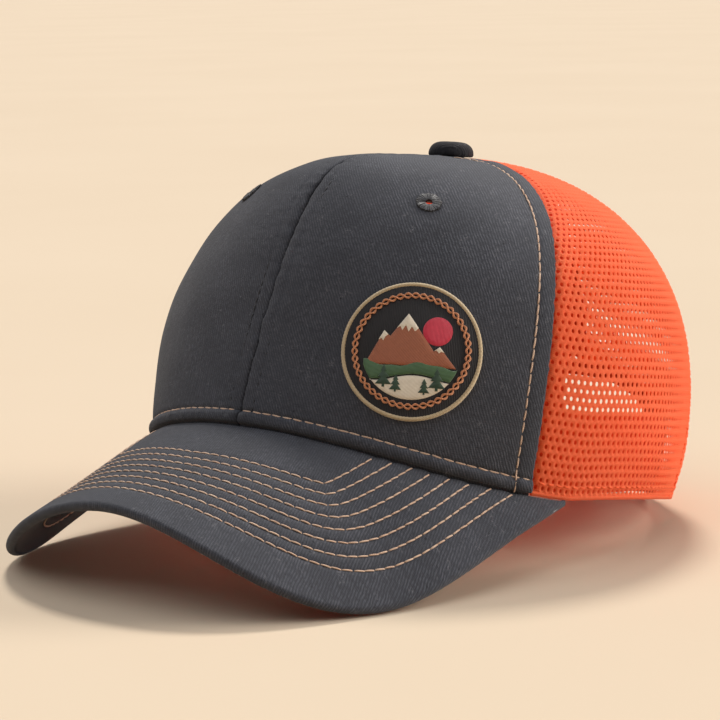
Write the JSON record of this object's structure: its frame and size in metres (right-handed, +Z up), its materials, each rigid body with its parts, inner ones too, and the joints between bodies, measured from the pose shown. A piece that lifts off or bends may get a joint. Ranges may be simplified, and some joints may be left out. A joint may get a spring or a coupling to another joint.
{
  "type": "trucker cap",
  "caption": "Trucker cap with stiff cloth front panels, open mesh sides and back, a curved stitched visor, a round badge and a snap strap across the back opening.",
  "frame": {"origin": "centre of the bounding box in X and Y, on the floor the cap stands on", "axes": "+Z up, -Y towards the front of the visor, +X towards the wearer's left"},
  "size_m": [0.1932, 0.2658, 0.1368],
  "materials": {
    "charcoal_twill": "brushed cotton twill",
    "orange_mesh": "open polyester mesh",
    "orange_cloth": "plain weave",
    "buckram": "stiff open weave",
    "visor_board": "matte sheet",
    "charcoal_thread": "satin thread",
    "orange_plastic": "moulded, semi-gloss",
    "steel": "plain stamped",
    "badge_field": "embroidered twill",
    "badge_border": "merrowed thread"
  },
  "bodies": {
    "cap": {"front_panel_left": "charcoal_twill", "front_panel_right": "charcoal_twill", "front_buckram_left": "buckram", "front_buckram_right": "buckram", "side_mesh_left": "orange_mesh", "side_mesh_right": "orange_mesh", "back_mesh_left": "orange_mesh", "back_mesh_right": "orange_mesh", "centre_front_seam_tape": "charcoal_twill", "front_side_seam_tape_left": "orange_cloth", "front_side_seam_tape_right": "orange_cloth", "side_back_seam_tape_left": "orange_cloth", "side_back_seam_tape_right": "orange_cloth", "centre_back_seam_tape": "orange_cloth", "sweatband": "orange_cloth", "back_opening_binding": "orange_cloth", "visor_top_cover": "charcoal_twill", "visor_board": "visor_board", "visor_under_cover": "charcoal_twill", "button_cover": "charcoal_twill", "button_shell": "steel", "button_rivet": "steel", "eyelet_left": "charcoal_thread", "eyelet_right": "charcoal_thread", "badge_field": "badge_field", "badge_border": "badge_border", "snap_strap_sewn_tab": "orange_plastic"},
    "holed_strap": {"snap_strap_holes": "orange_plastic"},
    "pegged_strap": {"snap_strap_pegs": "orange_plastic"}
  },
  "joints": [
    {"name": "snap_release", "type": "hinge", "parent": "cap", "child": "holed_strap", "pos_m": [0.03668, 0.11644, -0.00163], "axis": [0, -0.1164, -0.9932], "range_deg": [0, 75]},
    {"name": "size_adjust", "type": "hinge", "parent": "cap", "child": "pegged_strap", "pos_m": [0, 0.04007, 0.00733], "axis": [0, -0.1164, -0.9932], "range_deg": [-12.95, 12.95]}
  ]
}
